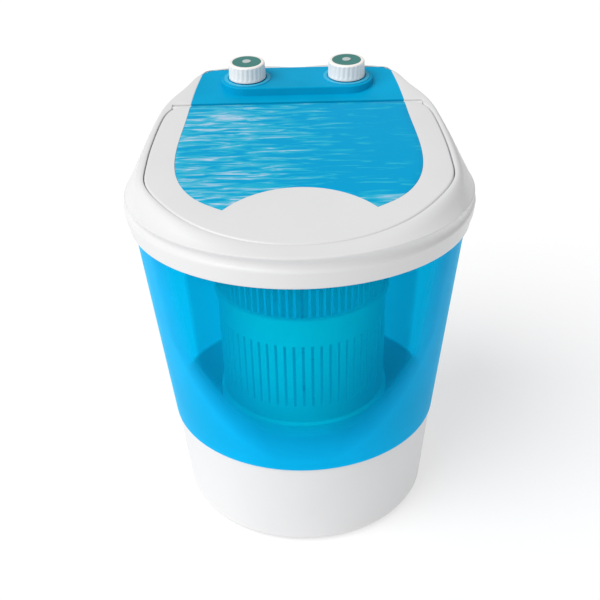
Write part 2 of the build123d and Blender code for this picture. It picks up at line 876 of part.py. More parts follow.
with BuildPart() as pulsator:
    add(
        turned(
            [
                (shaft_r, pulsator_z),
                (85, pulsator_z),
                (85, pulsator_z + 3),
                (40, pulsator_z + 5),
                (14, shaft_top_z),
                (shaft_r, shaft_top_z),
            ]
        )
    )
    with BuildSketch(Plane.XY.offset(pulsator_z + 1)):
        with PolarLocations(47, 6):
            SlotOverall(62, 9)
    extrude(amount=vane_top_z - pulsator_z - 1, taper=3)
save(pulsator, "pulsator")

with BuildPart() as pulsator_screw:
    add(upright([(0, 0)], 2.5, shaft_top_z - 12, shaft_top_z))
    add(upright([(0, 0)], 7, shaft_top_z, shaft_top_z + 4))
    chamfer(pulsator_screw.edges().group_by(Axis.Z)[-1], length=1)
save(pulsator_screw, "pulsator_screw")

with BuildPart() as spin_basket:
    add(
        turned(
            [
                (8, basket_bottom_z),
                (94, basket_bottom_z),
                (96.5, basket_bottom_z + 2.5),
                (96.5, basket_bottom_z + 18),
                (basket_r - 1, basket_bottom_z + 20),
                (basket_r, basket_top_z - 7),
                (97, basket_top_z - 6),
                (97, basket_top_z - 1.2),
                (95.5, basket_top_z),
                (basket_r - basket_wall, basket_top_z),
                (basket_r - 1 - basket_wall, basket_bottom_z + 2.4),
                (8, basket_bottom_z + 2.4),
            ]
        )
    )
    with BuildSketch(Plane.XY.offset(153)):
        with PolarLocations(basket_r, 60):
            Rectangle(12, 3.2)
    extrude(amount=77, mode=Mode.SUBTRACT)
    with BuildSketch(Plane.XY.offset(basket_bottom_z)):
        with PolarLocations(80, 24):
            Circle(3)
        with PolarLocations(64, 18):
            Circle(3)
        with PolarLocations(24, 6):
            Circle(3)
    extrude(amount=5, mode=Mode.SUBTRACT)
save(spin_basket, "spin_basket")


def pulley(x, y, radius, hub_r, bore_r):
    """V-belt pulley with its groove at mid height."""
    middle = pulley_width / 2
    profile = [
        (bore_r, 0),
        (radius, 0),
        (radius, 1.4),
        (radius - groove_depth, 1.8),
        (radius - groove_depth, pulley_width - 1.8),
        (radius, pulley_width - 1.4),
        (radius, pulley_width),
        (bore_r, pulley_width),
    ]
    with BuildPart() as wheel:
        with BuildSketch(Plane(origin=(x, y, pulley_z), x_dir=(1, 0, 0), z_dir=(0, -1, 0))):
            with BuildLine():
                Polyline(*profile, close=True)
            make_face()
        revolve(axis=Axis((x, y, 0), (0, 0, 1)))
        if radius - groove_depth - hub_r > middle * 5:
            for floor_z in (pulley_z, pulley_z + pulley_width - 2.6):
                with BuildSketch(Plane.XY.offset(floor_z)):
                    Circle(radius - groove_depth - 4)
                    Circle(hub_r, mode=Mode.SUBTRACT)
                extrude(amount=2.6, mode=Mode.SUBTRACT)
            with BuildSketch(Plane.XY.offset(pulley_z)):
                with PolarLocations((radius + hub_r) / 2 - 4, 6):
                    Circle(9)
            extrude(amount=pulley_width, mode=Mode.SUBTRACT)
    return wheel


large_pulley = pulley(0, 0, large_pulley_r, 11, shaft_r)
save(large_pulley, "large_pulley")
small_pulley = pulley(0, motor_y, small_pulley_r, 6, motor_shaft_r)
save(small_pulley, "small_pulley")

with BuildPart() as pulley_nut:
    with BuildSketch(Plane.XY.offset(pulley_z + pulley_width)):
        RegularPolygon(8.5, 6)
        Circle(shaft_r, mode=Mode.SUBTRACT)
    extrude(amount=5)
save(pulley_nut, "pulley_nut")

# ---------------------------------------------------------------- drive belt
belt_gap = 0.4
belt_thick = 4.0
belt_width = pulley_width - 2 * 1.8 - 2 * belt_gap


def belt_loop(rise):
    """Face inside a loop that runs round both pulleys, rise mm above their groove floors."""
    with BuildSketch(Plane.XY.offset(pulley_z + (pulley_width - belt_width) / 2)) as loop:
        Circle(large_pulley_r - groove_depth + rise)
        with Locations((0, motor_y)):
            Circle(small_pulley_r - groove_depth + rise)
        make_hull()
    return loop.sketch


belt_outside = belt_loop(belt_gap + belt_thick)
belt_inside = belt_loop(belt_gap)
with BuildPart() as drive_belt:
    extrude(belt_outside, amount=belt_width)
    extrude(belt_inside, amount=belt_width, mode=Mode.SUBTRACT)
save(drive_belt, "drive_belt")

# ---------------------------------------------------------------- motor, its bracket and capacitor
motor_low_z = bracket_z + wall
motor_top_z = 86.0
with BuildPart() as motor_bracket:
    with BuildSketch(Plane.XY.offset(bracket_z)):
        with Locations(*bracket_points):
            Circle(8)
        make_hull()
        with Locations(*bracket_points):
            Circle(1.5, mode=Mode.SUBTRACT)
        with Locations(*pillar_points[:2]):
            Circle(7.5, mode=Mode.SUBTRACT)
        with Locations((0, motor_y)):
            Circle(12, mode=Mode.SUBTRACT)
    extrude(amount=wall)
save(motor_bracket, "motor_bracket")

with BuildPart() as bracket_screws:
    add(upright(bracket_points, 1.5, flange_z + wall + 4, motor_low_z))
    add(upright(bracket_points, 3.2, motor_low_z, motor_low_z + 2))
save(bracket_screws, "bracket_screws")

with BuildPart() as drive_motor:
    add(upright([(0, motor_y)], motor_r, motor_low_z, motor_low_z + 14))
    add(upright([(0, motor_y)], motor_r - 3, motor_low_z + 14, motor_top_z - 14))
    add(upright([(0, motor_y)], motor_r, motor_top_z - 14, motor_top_z))
    add(upright([(0, motor_y)], 12, bracket_z, motor_low_z))
    with BuildSketch(Plane.XY.offset(motor_top_z - 14)):
        with Locations((0, motor_y)):
            with PolarLocations(motor_r, 16):
                Rectangle(10, 4)
    extrude(amount=10, mode=Mode.SUBTRACT)
    with BuildSketch(Plane.XY.offset(bracket_z)):
        with Locations((0, motor_y)):
            Circle(motor_shaft_r + running_gap)
    extrude(amount=36, mode=Mode.SUBTRACT)
save(drive_motor, "drive_motor")

with BuildPart() as motor_shaft:
    add(upright([(0, motor_y)], motor_shaft_r, pulley_z - 1, bracket_z + 35))
save(motor_shaft, "motor_shaft")

capacitor_y = -112.0
with BuildPart() as run_capacitor:
    add(upright([(0, capacitor_y)], 16, flange_z + wall, 60))
    fillet(run_capacitor.edges().group_by(Axis.Z)[-1], radius=2)
    with BuildSketch(Plane.XY.offset(60)):
        with Locations((-5, capacitor_y), (5, capacitor_y)):
            Rectangle(1, 6.3)
    extrude(amount=8)
save(run_capacitor, "run_capacitor")

with BuildPart() as capacitor_clip:
    with BuildSketch(Plane.XY.offset(flange_z + wall)):
        with Locations((0, capacitor_y)):
            Circle(18.2)
            Circle(16, mode=Mode.SUBTRACT)
    extrude(amount=14)
save(capacitor_clip, "capacitor_clip")

# ---------------------------------------------------------------- wiring inside the housing
lead_r = 3.0
timer_foot = on_plateau(-knob_x, control_top - 24).origin
route = [
    (timer_foot.X, timer_foot.Y, timer_foot.Z),
    (timer_foot.X, timer_foot.Y, timer_foot.Z - 28),
    (-24, 152, 374),
    (0, harness_y, 352),
    (0, harness_y - 2, 330),
    (0, 140, 140),
    (0, 135, 112),
    (0, 124, 98),
    (0, 124, motor_top_z),
]


def corner_radii(points):
    """Largest arc that the runs on each side of every corner allow."""
    radii = []
    for before, here, after in zip(points, points[1:], points[2:]):
        run_in = Vector(here) - Vector(before)
        run_out = Vector(after) - Vector(here)
        half_turn = radians(run_in.get_angle(run_out)) / 2
        radii.append(0.45 * min(run_in.length, run_out.length) / tan(half_turn))
    return radii


route_radii = corner_radii(route)
print("wiring harness bend radii", [round(radius, 1) for radius in route_radii])
with BuildPart() as wiring_harness:
    with BuildLine() as harness_path:
        FilletPolyline(*route, radius=route_radii)
    with BuildSketch(Plane(origin=route[0], z_dir=(0, 0, -1))):
        Circle(lead_r)
    sweep(path=harness_path.wires()[0])
save(wiring_harness, "wiring_harness")

with BuildPart() as harness_clips:
    for clip_z, clip_y in ((290, 148.5), (200, 141.5)):
        with BuildSketch(Plane.XY.offset(clip_z)):
            with Locations((0, clip_y - 5)):
                Rectangle(12, 26)
        extrude(amount=8)
    add(
        turned(
            [
                (0, tub_bottom_z),
                (tub_bottom_r, tub_bottom_z),
                (tub_outer_r(tub_rim_z - wall), tub_rim_z - wall),
                (0, tub_rim_z - wall),
            ]
        ),
        mode=Mode.SUBTRACT,
    )
    add(wiring_harness.part, mode=Mode.SUBTRACT)
save(harness_clips, "harness_clips")
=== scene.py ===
"""Looks for the small top load washing machine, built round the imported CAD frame."""

import json
import math

import bmesh
import bpy
import numpy as np
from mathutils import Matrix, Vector


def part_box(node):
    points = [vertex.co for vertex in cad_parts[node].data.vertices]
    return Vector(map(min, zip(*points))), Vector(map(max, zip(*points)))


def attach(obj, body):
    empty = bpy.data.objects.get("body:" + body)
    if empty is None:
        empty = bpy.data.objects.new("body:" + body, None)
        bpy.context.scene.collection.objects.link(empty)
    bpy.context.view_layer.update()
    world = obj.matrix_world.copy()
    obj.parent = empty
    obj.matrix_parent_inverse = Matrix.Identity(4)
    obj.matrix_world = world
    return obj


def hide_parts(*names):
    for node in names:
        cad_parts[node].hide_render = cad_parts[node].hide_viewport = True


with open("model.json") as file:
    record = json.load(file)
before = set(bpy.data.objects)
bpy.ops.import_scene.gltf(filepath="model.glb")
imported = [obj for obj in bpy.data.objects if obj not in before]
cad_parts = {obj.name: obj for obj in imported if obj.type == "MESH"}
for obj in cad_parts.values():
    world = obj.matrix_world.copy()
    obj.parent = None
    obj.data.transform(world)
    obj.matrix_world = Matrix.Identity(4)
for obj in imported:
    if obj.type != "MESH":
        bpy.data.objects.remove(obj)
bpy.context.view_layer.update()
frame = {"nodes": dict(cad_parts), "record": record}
nodes = frame["nodes"]
MM = 0.001

# ------------------------------------------------------------------ camera
CAMERA_ELEVATION = math.radians(29.2)
CAMERA_ROLL = math.radians(-1.31)
CAMERA_DISTANCE = 1.022
AIM_HEIGHT = 0.234
LENS_MM = 54.24
IMAGE_SIDE = 600


def add_camera():
    """Camera at the photograph's viewing angle, aimed at the middle of the machine."""
    data = bpy.data.cameras.new("camera")
    data.lens = LENS_MM
    data.sensor_width = 36
    data.shift_x = -2 / IMAGE_SIDE
    camera = bpy.data.objects.new("camera", data)
    bpy.context.scene.collection.objects.link(camera)
    away = Vector((0, -math.cos(CAMERA_ELEVATION), math.sin(CAMERA_ELEVATION)))
    camera.location = Vector((0, 0, AIM_HEIGHT)) + away * CAMERA_DISTANCE
    camera.rotation_euler = away.to_track_quat("Z", "Y").to_euler()
    camera.rotation_euler.rotate_axis("Z", CAMERA_ROLL)
    bpy.context.scene.camera = camera


add_camera()

# ------------------------------------------------------------------ floor and light
FLOOR_SIZE = 9.0
KEY_DIRECTION = (-0.70, -0.52, 0.90)
KEY_STRENGTH = 2.5
KEY_SPREAD = math.radians(50)
FILL_STRENGTH = 0.46
FLOOR_GREY = (0.5, 0.5, 0.5)
FLOOR_GLOW = 0.50


def add_floor():
    """Plain pale floor that is not part of the object."""
    half = FLOOR_SIZE / 2
    mesh = bpy.data.meshes.new("floor")
    mesh.from_pydata([(-half, -half, 0), (half, -half, 0), (half, half, 0), (-half, half, 0)],
                     [], [(0, 1, 2, 3)])
    floor = bpy.data.objects.new("floor", mesh)
    bpy.context.scene.collection.objects.link(floor)
    material = bpy.data.materials.new("floor")
    material.use_nodes = True
    surface = material.node_tree.nodes["Principled BSDF"]
    surface.inputs["Base Color"].default_value = (*FLOOR_GREY, 1)
    surface.inputs["Roughness"].default_value = 0.9
    surface.inputs["Emission Color"].default_value = (1, 1, 1, 1)
    surface.inputs["Emission Strength"].default_value = FLOOR_GLOW
    mesh.materials.append(material)


def add_studio():
    """Pale floor, even white surroundings and a soft key light from the front left.

    The surroundings look plain white and light the object less strongly than they look.
    """
    add_floor()
    world = bpy.data.worlds.new("studio")
    world.use_nodes = True
    world.node_tree.nodes["Background"].inputs["Color"].default_value = (1, 1, 1, 1)
    seen = world.node_tree.nodes.new("ShaderNodeLightPath")
    strength = remap(world.node_tree, seen.outputs["Is Camera Ray"], 0, 1, FILL_STRENGTH, 1)
    link(world.node_tree, strength, world.node_tree.nodes["Background"].inputs["Strength"])
    bpy.context.scene.world = world
    data = bpy.data.lights.new("key", "SUN")
    data.energy = KEY_STRENGTH
    data.angle = KEY_SPREAD
    lamp = bpy.data.objects.new("key", data)
    lamp.rotation_euler = Vector(KEY_DIRECTION).to_track_quat("Z", "Y").to_euler()
    bpy.context.scene.collection.objects.link(lamp)


bpy.context.scene.view_settings.view_transform = "Standard"
bpy.context.scene.view_settings.look = "None"


# ------------------------------------------------------------------ materials
def new_material(name):
    """Material with its node tree and its Principled shader."""
    material = bpy.data.materials.new(name)
    material.use_nodes = True
    tree = material.node_tree
    return material, tree, tree.nodes["Principled BSDF"]


def link(tree, source, target):
    """Join an output socket to an input socket."""
    tree.links.new(source, target)


def remap(tree, value, low, high, to_low, to_high):
    """A value carried from one range to another."""
    node = tree.nodes.new("ShaderNodeMapRange")
    node.inputs["From Min"].default_value = low
    node.inputs["From Max"].default_value = high
    node.inputs["To Min"].default_value = to_low
    node.inputs["To Max"].default_value = to_high
    link(tree, value, node.inputs["Value"])
    return node.outputs["Result"]


def math_node(tree, operation, first, second):
    """Two values put together by a maths node."""
    node = tree.nodes.new("ShaderNodeMath")
    node.operation = operation
    link(tree, first, node.inputs[0])
    link(tree, second, node.inputs[1])
    return node.outputs["Value"]


def noise(tree, scale, detail=3.0, stretch=(1, 1, 1), wave=0.0):
    """Noise texture in object space; returns its value socket."""
    place = tree.nodes.new("ShaderNodeTexCoord")
    mapping = tree.nodes.new("ShaderNodeMapping")
    mapping.inputs["Scale"].default_value = stretch
    texture = tree.nodes.new("ShaderNodeTexNoise")
    texture.inputs["Scale"].default_value = scale
    texture.inputs["Detail"].default_value = detail
    texture.inputs["Distortion"].default_value = wave
    link(tree, place.outputs["Object"], mapping.inputs["Vector"])
    link(tree, mapping.outputs["Vector"], texture.inputs["Vector"])
    return texture.outputs["Fac"]


def ramp(tree, value, stops):
    """Colour ramp over a value; stops are (position, colour)."""
    node = tree.nodes.new("ShaderNodeValToRGB")
    elements = node.color_ramp.elements
    elements[0].position, elements[0].color = stops[0][0], (*stops[0][1], 1)
    elements[1].position, elements[1].color = stops[1][0], (*stops[1][1], 1)
    for position, colour in stops[2:]:
        elements.new(position).color = (*colour, 1)
    link(tree, value, node.inputs["Fac"])
    return node.outputs["Color"]


def bump(tree, height, strength, distance):
    """Bump node from a height value; returns its normal socket."""
    node = tree.nodes.new("ShaderNodeBump")
    node.inputs["Strength"].default_value = strength
    node.inputs["Distance"].default_value = distance
    link(tree, height, node.inputs["Height"])
    return node.outputs["Normal"]


def scaled(colour, factor):
    """A colour made lighter or darker."""
    return tuple(min(1.0, channel * factor) for channel in colour)


def mottled(tree, tone, colour, mottle):
    """A colour that a tone value makes a little darker or lighter."""
    return ramp(tree, tone, [(0.3, scaled(colour, 1 - mottle)), (0.7, scaled(colour, 1 + mottle))])


def solid_finish(name, colour, roughness, metallic=0.0, coat=0.0, mottle=0.05, grain=900.0,
                 depth=0.00004, stretch=(1, 1, 1), shine=0.5):
    """Opaque finish with a faint change of tone, an uneven gloss and a fine surface grain."""
    material, tree, surface = new_material(name)
    tone = noise(tree, 14, 4)
    link(tree, mottled(tree, tone, colour, mottle), surface.inputs["Base Color"])
    glossiest = max(0.02, roughness - 0.06)
    dullest = min(1.0, roughness + 0.08)
    gloss = remap(tree, noise(tree, 60, 5), 0, 1, glossiest, dullest)
    link(tree, gloss, surface.inputs["Roughness"])
    surface.inputs["Metallic"].default_value = metallic
    surface.inputs["Specular IOR Level"].default_value = shine
    surface.inputs["Coat Weight"].default_value = coat
    surface.inputs["Coat Roughness"].default_value = 0.12
    link(tree, bump(tree, noise(tree, grain, 2, stretch), 0.25, depth), surface.inputs["Normal"])
    return material


CLOUD_FRONT_Y = -0.15
CLOUD_SLOPE = 2.0
CLOUD_SIDE_Y = (-0.126, -0.09)
CLOUD_REAR_Y = (-0.02, 0.05)
REAR_LIT_SHARE = 0.8
REAR_LIT_GAIN = 1.3


def clear_finish(name, colour, tint, clear, roughness=0.12, mottle=0.06, shine=0.2, cloud=None):
    """Translucent coloured plastic: a tinted see-through share mixed with a glossy coloured one.

    cloud is (height, lower height, share): the see-through share falls to that share between the
    heights, which climb away from the front, and at the sides. The rear passes on the light that
    falls on it.
    """
    material, tree, surface = new_material(name)
    tone = noise(tree, 9, 3)
    link(tree, mottled(tree, tone, colour, mottle), surface.inputs["Base Color"])
    gloss = remap(tree, noise(tree, 40, 4), 0, 1, roughness, roughness + 0.08)
    link(tree, gloss, surface.inputs["Roughness"])
    link(tree, bump(tree, noise(tree, 25, 2), 0.15, 0.0004), surface.inputs["Normal"])
    surface.inputs["Specular IOR Level"].default_value = shine
    see_through = tree.nodes.new("ShaderNodeBsdfTransparent")
    see_through.inputs["Color"].default_value = (*tint, 1)
    mix = tree.nodes.new("ShaderNodeMixShader")
    mix.inputs["Fac"].default_value = clear
    if cloud:
        place = tree.nodes.new("ShaderNodeTexCoord")
        split = tree.nodes.new("ShaderNodeSeparateXYZ")
        link(tree, place.outputs["Object"], split.inputs["Vector"])
        depth = split.outputs["Y"]
        drop = remap(tree, depth, CLOUD_FRONT_Y, 0, 0, CLOUD_SLOPE * CLOUD_FRONT_Y)
        height = math_node(tree, "ADD", split.outputs["Z"], drop)
        lower = remap(tree, height, cloud[0], cloud[1], clear, cloud[2])
        sides = remap(tree, depth, *CLOUD_SIDE_Y, clear, cloud[2])
        link(tree, math_node(tree, "MINIMUM", lower, sides), mix.inputs["Fac"])
        lit = tree.nodes.new("ShaderNodeBsdfTranslucent")
        lit.inputs["Color"].default_value = (*scaled(colour, REAR_LIT_GAIN), 1)
        share = tree.nodes.new("ShaderNodeMixShader")
        link(tree, remap(tree, depth, *CLOUD_REAR_Y, 0, REAR_LIT_SHARE), share.inputs["Fac"])
        link(tree, surface.outputs["BSDF"], share.inputs[1])
        link(tree, lit.outputs["BSDF"], share.inputs[2])
        link(tree, share.outputs["Shader"], mix.inputs[1])
    else:
        link(tree, surface.outputs["BSDF"], mix.inputs[1])
    link(tree, see_through.outputs["BSDF"], mix.inputs[2])
    link(tree, mix.outputs["Shader"], tree.nodes["Material Output"].inputs["Surface"])
    return material


WHITE = (0.715, 0.715, 0.72)
FINISHES = {
    "white_shell": solid_finish("white_shell", WHITE, 0.36, coat=0.1, mottle=0.012),
    "blue_casing": clear_finish("blue_casing", (0.0, 0.52, 0.94), (0.0, 0.99, 1.0), 0.84,
                                roughness=0.34, shine=0.03, cloud=(0.185, 0.125, 0.30)),
    "blue_tub": clear_finish("blue_tub", (0.0, 0.62, 1.0), (0.9, 1.0, 1.0), 0.84),
    "blue_deck": solid_finish("blue_deck", (0.0, 0.34, 0.60), 0.4, mottle=0.08, shine=0.04),
    "blue_trim": solid_finish("blue_trim", (0.02, 0.42, 0.66), 0.3, mottle=0.05, shine=0.25),
    "turquoise_basket": solid_finish("turquoise_basket", (0.5, 0.99, 0.92), 0.4, mottle=0.01,
                                     shine=0.3),
    "pulsator_plastic": solid_finish("pulsator_plastic", (0.45, 0.75, 0.85), 0.35, coat=0.2),
    "knob_white": solid_finish("knob_white", (0.92, 0.87, 0.84), 0.35, mottle=0.02),
    "knob_teal": solid_finish("knob_teal", (0.05, 0.20, 0.18), 0.4, mottle=0.08, shine=0.2),
    "knob_cap_grey": solid_finish("knob_cap_grey", (0.5, 0.56, 0.56), 0.3, mottle=0.04),
    "steel": solid_finish("steel", (0.55, 0.55, 0.57), 0.28, metallic=1.0, grain=300,
                          stretch=(1, 1, 14)),
    "bearing_steel": solid_finish("bearing_steel", (0.62, 0.62, 0.64), 0.16, metallic=1.0),
    "zinc_plate": solid_finish("zinc_plate", (0.5, 0.51, 0.53), 0.42, metallic=1.0, mottle=0.15),
    "motor_paint": solid_finish("motor_paint", (0.03, 0.032, 0.035), 0.45, mottle=0.1),
    "cast_aluminium": solid_finish("cast_aluminium", (0.55, 0.56, 0.57), 0.5, metallic=1.0,
                                   depth=0.0002),
    "pulley_plastic": solid_finish("pulley_plastic", (0.02, 0.02, 0.022), 0.5, mottle=0.1),
    "pulley_metal": solid_finish("pulley_metal", (0.55, 0.55, 0.56), 0.3, metallic=1.0),
    "black_rubber": solid_finish("black_rubber", (0.015, 0.015, 0.016), 0.7, mottle=0.1,
                                 depth=0.0001),
    "grey_rubber": solid_finish("grey_rubber", (0.12, 0.125, 0.13), 0.7, mottle=0.08,
                                depth=0.0001),
    "white_fitting": solid_finish("white_fitting", (0.7, 0.7, 0.68), 0.45, mottle=0.03),
    "control_plastic": solid_finish("control_plastic", (0.6, 0.58, 0.5), 0.5, mottle=0.05),
    "capacitor_grey": solid_finish("capacitor_grey", (0.3, 0.32, 0.34), 0.45, mottle=0.05),
    "black_lead": solid_finish("black_lead", (0.02, 0.02, 0.022), 0.55, mottle=0.1),
}


# The pale streaks on the lid window are painted reflection: these set where they show and how they
# are stretched.
REFLECTION_LEFT_X = (-0.07, 0.06)
REFLECTION_RIGHT_SHARE = 0.72
REFLECTION_FRONT_Y = (-0.05, -0.10)
REFLECTION_FRONT_SHARE = 1.08
REFLECTION_STRETCH = (0.42, 3.0, 1)


def glazing_with_painted_reflection():
    """Blue lid window with pale wavy streaks of painted reflection, strongest on the left and in
    the front corners.
    """
    material = clear_finish("blue_glazing", (0.0, 0.42, 0.66), (0.0, 0.8, 0.95), 0.1,
                            roughness=0.25, shine=0.06)
    tree = material.node_tree
    surface = tree.nodes["Principled BSDF"]
    place = tree.nodes.new("ShaderNodeTexCoord")
    split = tree.nodes.new("ShaderNodeSeparateXYZ")
    link(tree, place.outputs["Object"], split.inputs["Vector"])
    # Painted reflection: pale streaks masked strongest on the left and at the front, mixed into the
    # window's own blue.
    left = remap(tree, split.outputs["X"], *REFLECTION_LEFT_X, 1, REFLECTION_RIGHT_SHARE)
    front = remap(tree, split.outputs["Y"], *REFLECTION_FRONT_Y, 0, REFLECTION_FRONT_SHARE)
    reflection_cover = math_node(tree, "MAXIMUM", left, front)
    reflection_streaks = noise(tree, 66, 6, REFLECTION_STRETCH, wave=0.7)
    painted_reflection = math_node(tree, "MULTIPLY", reflection_streaks, reflection_cover)
    reflection_shades = ramp(tree, painted_reflection, [(0.40, (0.0, 0.36, 0.66)), (0.47, (0.015, 0.45, 0.66)),
                               (0.55, (0.09, 0.50, 0.70)), (0.66, (0.52, 0.66, 0.82))])
    link(tree, reflection_shades, surface.inputs["Base Color"])
    return material


FINISHES["blue_glazing"] = glazing_with_painted_reflection()


def smooth(mesh, angle):
    """Shade a mesh smooth, with edges sharper than the angle kept crisp."""
    mesh.shade_smooth()
    mesh.set_sharp_from_angle(angle=math.radians(angle))


# ------------------------------------------------------------------ outlines
LID_SKIRT = 9.0
LID_GAP = 0.8
LID_WALL = 3.0
WINDOW_THICKNESS = 2.6
POCKET_DEPTH = 10.0
HOUSING_WALL = 3.0
DECK_DEPTH = 3.05
SLOT_HALF_X = 139.0
DECK_LEDGE = 8.0
BAR_X = 124.0
MOUTH_R = 124.0
MOUTH_CORNER_R = 14.0
MOUTH_REAR_Y = 76.0
CASING_REBATE_R = 177.0
WEB_R = 176.9
HINGE_R = 3.0
OPENING_REAR_Y = 80.0
WINDOW_SEAT = 5.0
# A column that points less far back than LEAST_RISE meets no line at the rear; FAR is its limit.
LEAST_RISE = 0.3
FAR = 1000.0
KNUCKLE_X = (117.0, 138.5)
BEAD_END_X = 116.0
TOP_SLOPE = 0.205
SLOPE_LENGTH = math.sqrt(1 + TOP_SLOPE**2)
PLAN_CENTRE_Y = 10.0
COLUMNS = 480
PAIR_TURN = 0.0012
LEAST_TURN = 0.0008
hinge_low, hinge_high = (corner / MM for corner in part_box("lid_hinge_pins"))
hinge_y = (hinge_low.y + hinge_high.y) / 2
hinge_z = (hinge_low.z + hinge_high.z) / 2
lid_front_y = -163.5
roof_front_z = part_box("lid_frame")[0].z / MM + LID_SKIRT * SLOPE_LENGTH
skirt_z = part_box("top_frame")[0].z / MM
rim_z = skirt_z + 32.2
web_z = skirt_z + 6.6
slot_rear_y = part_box("control_deck")[0].y / MM


def spline(points, steps, closed):
    """Points along a smooth curve through plan points, with a number of steps in each span."""
    spots = np.array(points, float)
    count = len(spots)
    following = np.roll(spots, -1, axis=0)
    length = np.linalg.norm(following - spots, axis=1)
    slope = (following - spots) / length[:, None]
    matrix = np.zeros((count, count))
    target = np.zeros((count, 2))
    for here in range(count):
        before = here - 1
        matrix[here, here] = 2 * (length[here] + length[before])
        matrix[here, before] = length[here]
        matrix[here, (here + 1) % count] = length[before]
        target[here] = 3 * (length[here] * slope[before] + length[before] * slope[here])
    if not closed:
        matrix[0] = matrix[-1] = 0
        matrix[0, 0], matrix[0, 1], target[0] = 2, 1, 3 * slope[0]
        matrix[-1, -1], matrix[-1, -2], target[-1] = 2, 1, 3 * slope[-2]
    run = np.linalg.solve(matrix, target)
    curve = []
    for here in range(count if closed else count - 1):
        after = (here + 1) % count
        for step in range(steps):
            t = step / steps
            curve.append(
                spots[here] * (1 + 2 * t) * (1 - t) ** 2
                + spots[after] * t * t * (3 - 2 * t)
                + run[here] * length[here] * t * (1 - t) ** 2
                - run[after] * length[here] * t * t * (1 - t)
            )
    if not closed:
        curve.append(spots[-1])
    return np.array(curve)


def mirrored(points):
    """Right half of an outline, front to back, with its left half added."""
    return points + [(-x, y) for x, y in reversed(points) if abs(x) > 0.001]


def front_arc(radius, middle_y):
    """Plan points of the round front, from the middle towards the right."""
    steps = [math.radians(turn) for turn in (0, 20, 40, 56, 70)]
    return [(radius * math.sin(turn), middle_y - radius * math.cos(turn)) for turn in steps]


def inset(points, distance):
    """Closed ring of plan points moved inwards, or outwards for a negative distance."""
    spots = np.array(points, float)
    run = np.roll(spots, -1, axis=0) - np.roll(spots, 1, axis=0)
    run /= np.linalg.norm(run, axis=1)[:, None]
    return spots + np.stack([-run[:, 1], run[:, 0]], axis=1) * distance


RIM = mirrored(
    front_arc(182.5, 0)
    + [(179.6, -32), (182.4, -3), (180.6, 27), (173, 60), (163, 88), (151.5, 113), (143, 131)]
    + [(136, 148), (127, 163.5), (112.5, 175.5), (88, 181), (44, 182), (0, 182.2)]
)
SHOULDER = mirrored(
    front_arc(169, -1)
    + [(161.3, -30), (160.6, -3), (158.5, 26), (154.5, 60), (149.5, 88), (140, 113), (131, 130)]
    + [(124, 146), (117.5, 160), (105, 171.5), (84, 177.2), (42, 178.2), (0, 178.2)]
)
LID = mirrored(
    front_arc(162.5, -1)
    + [(154.2, -32), (153.6, -4), (151.3, 26), (147.4, 58), (143.5, 74), (136.5, 84.5)]
    + [(124, 88.5), (80, 88.5), (40, 88.5), (0, 88.5)]
)
BLUE_SIDE = [(73, -109), (98, -92), (118, -62), (126, -14), (121, 57), (115.5, 125),
             (108.5, 171.5)]
BLUE_CORNER = 11.0
BLUE_REAR_Y = 171.5
BAY_MIDDLE_Y = -165.8
BAY_R = 92.5


def blue_curve():
    """Outline of the blue panels: a bay at the front, curved sides and rounded rear corners."""
    bay_end = math.atan2(BLUE_SIDE[0][0], BLUE_SIDE[0][1] - BAY_MIDDLE_Y)
    bay = [
        (BAY_R * math.sin(turn), BAY_MIDDLE_Y + BAY_R * math.cos(turn))
        for turn in np.linspace(0, bay_end, 24)[:-1]
    ]
    corner_y = BLUE_REAR_Y - BLUE_CORNER
    side = [tuple(spot) for spot in spline(BLUE_SIDE, 24, False) if spot[1] < corner_y]
    corner_x = side[-1][0] - BLUE_CORNER
    corner = [
        (corner_x + BLUE_CORNER * math.cos(turn), corner_y + BLUE_CORNER * math.sin(turn))
        for turn in np.linspace(0, math.pi / 2, 12)
    ]
    return np.array(mirrored(bay + side + corner + [(0, BLUE_REAR_Y)]))


def mouth_curve(grow):
    """Outline of the tub's mouth: round, straight at the rear, with rounded corners."""
    corner_y = MOUTH_REAR_Y - MOUTH_CORNER_R
    corner_x = math.sqrt((MOUTH_R - MOUTH_CORNER_R) ** 2 - corner_y**2)
    turn_end = math.atan2(corner_y, corner_x)
    big = MOUTH_R + grow
    small = MOUTH_CORNER_R + grow
    round_part = [
        (big * math.cos(turn), big * math.sin(turn))
        for turn in np.linspace(-math.pi / 2, turn_end, 90)
    ]
    corner = [
        (corner_x + small * math.cos(turn), corner_y + small * math.sin(turn))
        for turn in np.linspace(turn_end, math.pi / 2, 14)[1:]
    ]
    return np.array(mirrored(round_part + corner + [(0, MOUTH_REAR_Y + grow)]))


def bearing(x, y):
    """Direction of a plan point seen from the middle of the top."""
    return math.atan2(y - PLAN_CENTRE_Y, x)


def reach(curve):
    """Distance from the middle of the top to a closed plan curve, in each column's direction."""
    spots = np.asarray(curve, float) - (0, PLAN_CENTRE_Y)
    angle = np.arctan2(spots[:, 1], spots[:, 0])
    order = np.argsort(angle)
    distance = np.hypot(spots[order, 0], spots[order, 1])
    return np.interp(turns, angle[order], distance, period=2 * math.pi)


def reach_of(points, depth=0.0):
    """Reach of the smooth closed curve through plan points, moved inwards by depth."""
    return reach(spline(inset(points, depth) if depth else points, 16, True))


def reach_circle(radius):
    """Reach of a circle about the tub's axis."""
    across = PLAN_CENTRE_Y * np.cos(turns)
    return -PLAN_CENTRE_Y * np.sin(turns) + np.sqrt(radius**2 - across**2)


